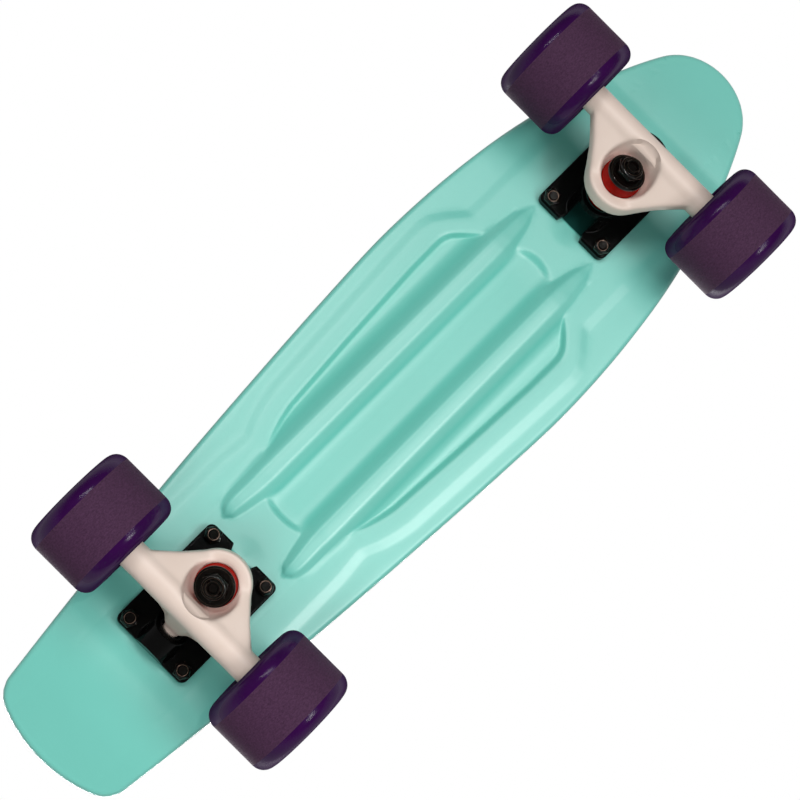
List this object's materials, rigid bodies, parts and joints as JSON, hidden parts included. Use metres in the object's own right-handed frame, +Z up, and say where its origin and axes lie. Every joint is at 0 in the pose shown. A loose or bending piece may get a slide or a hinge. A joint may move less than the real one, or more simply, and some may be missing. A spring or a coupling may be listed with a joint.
{
  "type": "skateboard",
  "caption": "Moulded plastic mini cruiser board with a kicked tail, two sprung leaning trucks and soft cast wheels on ball bearings.",
  "frame": {"origin": "on the ground under the middle of the board, half way between the tips of the nose and the tail", "axes": "+X to the nose, +Y to the left, +Z up; the board stands on its wheels"},
  "size_m": [0.579, 0.1808, 0.1156],
  "materials": {
    "deck_plastic": "fine satin moulded polypropylene, mint turquoise",
    "black_enamel": "gloss black enamel on cast aluminium",
    "cream_paint": "satin pinkish cream paint on cast aluminium",
    "black_oxide_steel": "glossy black finish on steel",
    "plain_steel": "ground steel",
    "shield_steel": "pressed steel shield",
    "cage_plastic": "natural nylon",
    "red_urethane": "clear red cast urethane",
    "purple_urethane": "deep purple cast urethane, glossy lips and ground matte tread"
  },
  "bodies": {
    "board": {"deck": "deck_plastic", "front_baseplate": "black_enamel", "front_pivot_cup": "red_urethane", "front_kingpin": "black_oxide_steel", "front_kingpin_nut": "black_oxide_steel", "front_base_cup_washer": "black_oxide_steel", "front_road_cup_washer": "black_oxide_steel", "front_board_side_bushing": "red_urethane", "front_road_side_bushing": "red_urethane", "front_deck_bolts": "black_oxide_steel", "front_deck_nuts": "black_oxide_steel", "rear_baseplate": "black_enamel", "rear_pivot_cup": "red_urethane", "rear_kingpin": "black_oxide_steel", "rear_kingpin_nut": "black_oxide_steel", "rear_base_cup_washer": "black_oxide_steel", "rear_road_cup_washer": "black_oxide_steel", "rear_board_side_bushing": "red_urethane", "rear_road_side_bushing": "red_urethane", "rear_deck_bolts": "black_oxide_steel", "rear_deck_nuts": "black_oxide_steel"},
    "front_hanger": {"front_hanger": "cream_paint", "front_axle": "plain_steel", "front_axle_nuts": "black_oxide_steel", "front_speed_washers": "plain_steel", "front_bearing_spacers": "plain_steel", "front_bearing_inner_rings": "plain_steel"},
    "front_left_wheel": {"front_left_wheel": "purple_urethane", "front_left_bearing_outer_rings": "plain_steel", "front_left_bearing_shields": "shield_steel"},
    "front_left_bearing_cages": {"front_left_bearing_cages": "cage_plastic", "front_left_bearing_balls": "plain_steel"},
    "front_right_wheel": {"front_right_wheel": "purple_urethane", "front_right_bearing_outer_rings": "plain_steel", "front_right_bearing_shields": "shield_steel"},
    "front_right_bearing_cages": {"front_right_bearing_cages": "cage_plastic", "front_right_bearing_balls": "plain_steel"},
    "rear_hanger": {"rear_hanger": "cream_paint", "rear_axle": "plain_steel", "rear_axle_nuts": "black_oxide_steel", "rear_speed_washers": "plain_steel", "rear_bearing_spacers": "plain_steel", "rear_bearing_inner_rings": "plain_steel"},
    "rear_left_wheel": {"rear_left_wheel": "purple_urethane", "rear_left_bearing_outer_rings": "plain_steel", "rear_left_bearing_shields": "shield_steel"},
    "rear_left_bearing_cages": {"rear_left_bearing_cages": "cage_plastic", "rear_left_bearing_balls": "plain_steel"},
    "rear_right_wheel": {"rear_right_wheel": "purple_urethane", "rear_right_bearing_outer_rings": "plain_steel", "rear_right_bearing_shields": "shield_steel"},
    "rear_right_bearing_cages": {"rear_right_bearing_cages": "cage_plastic", "rear_right_bearing_balls": "plain_steel"}
  },
  "joints": [
    {"name": "front_truck_lean", "type": "hinge", "parent": "board", "child": "front_hanger", "pos_m": [0.206, 0, 0.0747], "axis": [-0.7719, 0, -0.6357], "range_deg": [-12, 12], "stiffness_Nm_per_rad": 45, "deforming": ["front_board_side_bushing", "front_road_side_bushing"]},
    {"name": "front_left_wheel_spin", "type": "hinge", "parent": "front_hanger", "child": "front_left_wheel", "pos_m": [0.1938, 0.0674, 0.0345], "axis": [0, 1, 0], "continuous": true},
    {"name": "front_left_cage_spin", "type": "hinge", "parent": "front_hanger", "child": "front_left_bearing_cages", "pos_m": [0.1938, 0.0674, 0.0345], "axis": [0, 1, 0], "continuous": true},
    {"name": "front_right_wheel_spin", "type": "hinge", "parent": "front_hanger", "child": "front_right_wheel", "pos_m": [0.1938, -0.0674, 0.0345], "axis": [0, 1, 0], "continuous": true},
    {"name": "front_right_cage_spin", "type": "hinge", "parent": "front_hanger", "child": "front_right_bearing_cages", "pos_m": [0.1938, -0.0674, 0.0345], "axis": [0, 1, 0], "continuous": true},
    {"name": "rear_truck_lean", "type": "hinge", "parent": "board", "child": "rear_hanger", "pos_m": [-0.193, 0, 0.0747], "axis": [0.7719, 0, -0.6357], "range_deg": [-12, 12], "stiffness_Nm_per_rad": 45, "deforming": ["rear_board_side_bushing", "rear_road_side_bushing"]},
    {"name": "rear_left_wheel_spin", "type": "hinge", "parent": "rear_hanger", "child": "rear_left_wheel", "pos_m": [-0.1808, 0.0674, 0.0345], "axis": [0, 1, 0], "continuous": true},
    {"name": "rear_left_cage_spin", "type": "hinge", "parent": "rear_hanger", "child": "rear_left_bearing_cages", "pos_m": [-0.1808, 0.0674, 0.0345], "axis": [0, 1, 0], "continuous": true},
    {"name": "rear_right_wheel_spin", "type": "hinge", "parent": "rear_hanger", "child": "rear_right_wheel", "pos_m": [-0.1808, -0.0674, 0.0345], "axis": [0, 1, 0], "continuous": true},
    {"name": "rear_right_cage_spin", "type": "hinge", "parent": "rear_hanger", "child": "rear_right_bearing_cages", "pos_m": [-0.1808, -0.0674, 0.0345], "axis": [0, 1, 0], "continuous": true}
  ],
  "couplings": [
    {"joint": "front_left_cage_spin", "follows": "front_left_wheel_spin", "ratio": 0.632},
    {"joint": "front_right_cage_spin", "follows": "front_right_wheel_spin", "ratio": 0.632},
    {"joint": "rear_left_cage_spin", "follows": "rear_left_wheel_spin", "ratio": 0.632},
    {"joint": "rear_right_cage_spin", "follows": "rear_right_wheel_spin", "ratio": 0.632}
  ]
}
